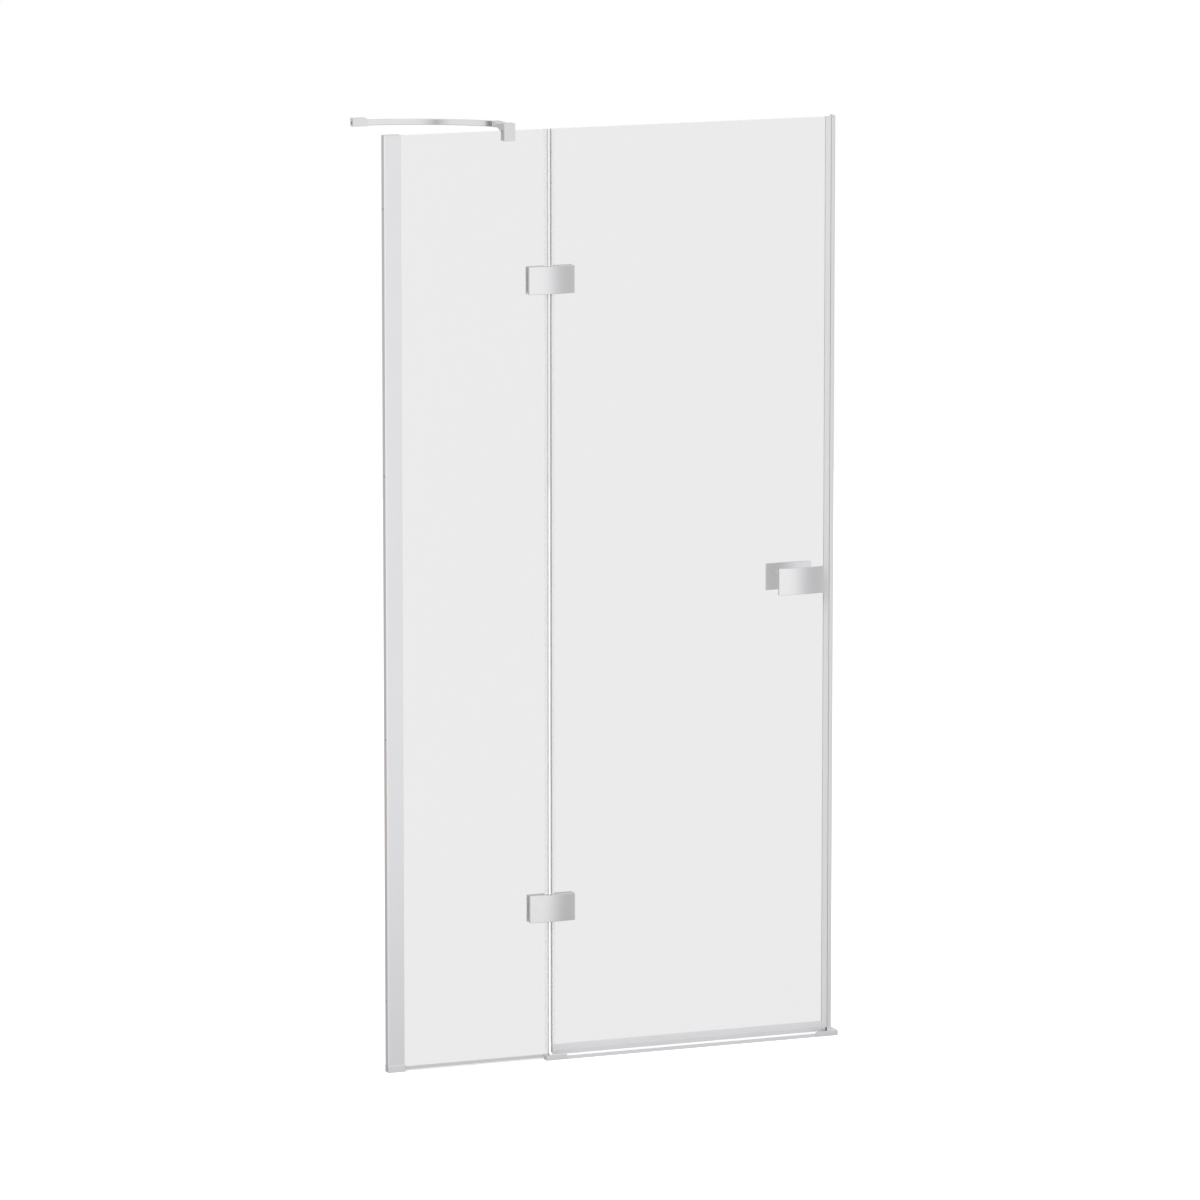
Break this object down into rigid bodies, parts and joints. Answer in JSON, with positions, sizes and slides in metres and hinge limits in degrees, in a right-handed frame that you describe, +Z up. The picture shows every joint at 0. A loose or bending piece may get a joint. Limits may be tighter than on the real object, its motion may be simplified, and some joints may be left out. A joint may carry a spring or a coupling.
{
  "type": "hinged shower door",
  "caption": "Frameless glass shower door hinged on a narrow fixed side panel, with a curved wall brace, arched chrome hinge covers and a double pull handle.",
  "frame": {"origin": "where the left wall, the tray and the glass mid-plane meet", "axes": "+X along the panel from the left wall to the right wall, +Y into the shower, +Z up"},
  "size_m": [1.005, 0.2377, 1.9668],
  "materials": {
    "chrome": "polished chrome plate",
    "bright_aluminium": "bright anodised extrusion, smooth",
    "mill_aluminium": "plain extrusion, hidden",
    "clear_glass": "clear toughened, polished edges",
    "clear_edge_strip": "clear extruded edge strip",
    "satin_cap": "moulded cap, metallic satin",
    "grey_seal": "pale grey extruded seal",
    "dark_gasket": "dark grey wedge gasket",
    "soft_liner": "clear soft liner",
    "steel": "stainless, turned",
    "plated_leaf": "plated hinge leaf, satin",
    "nylon": "natural nylon",
    "magnet_strip": "flexible magnet strip, matt"
  },
  "bodies": {
    "frame": {"wall_channel": "mill_aluminium", "wall_profile": "bright_aluminium", "gasket_front": "dark_gasket", "gasket_back": "dark_gasket", "profile_screws": "steel", "foot_cap": "satin_cap", "top_cap": "satin_cap", "fixed_glass": "clear_glass", "sill_seal": "grey_seal", "fixed_edge_seal": "clear_edge_strip", "strike_profile": "bright_aluminium", "strike_magnet": "magnet_strip", "threshold_rail": "bright_aluminium", "threshold_cap_left": "satin_cap", "threshold_cap_right": "satin_cap", "stabiliser_clamp": "chrome", "clamp_liners": "soft_liner", "clamp_screw": "steel", "stabiliser_bar": "chrome", "pivot_screw": "steel", "bar_socket": "chrome", "socket_screw": "steel", "low_fixed_leaf": "plated_leaf", "low_fixed_back": "chrome", "low_fixed_liners": "soft_liner", "low_cover": "chrome", "low_pin": "steel", "high_fixed_leaf": "plated_leaf", "high_fixed_back": "chrome", "high_fixed_liners": "soft_liner", "high_cover": "chrome", "high_pin": "steel", "fixed_leaf_screws": "steel", "cover_screws": "steel"},
    "door": {"door_glass": "clear_glass", "drip_seal": "grey_seal", "magnetic_seal": "grey_seal", "door_magnet": "magnet_strip", "door_edge_seal": "clear_edge_strip", "low_door_leaf": "plated_leaf", "low_door_back": "chrome", "low_door_liners": "soft_liner", "low_bush": "nylon", "high_door_leaf": "plated_leaf", "high_door_back": "chrome", "high_door_liners": "soft_liner", "high_bush": "nylon", "door_leaf_screws": "steel", "handle_front": "chrome", "handle_back": "chrome", "post_front": "chrome", "post_back": "chrome", "handle_stud": "steel", "handle_sleeve": "soft_liner", "handle_washers": "soft_liner"}
  },
  "joints": [
    {"name": "door_swing", "type": "hinge", "parent": "frame", "child": "door", "pos_m": [0.362, 0.0045, 0.98], "axis": [0, 0, 1], "range_deg": [0, 100]}
  ]
}
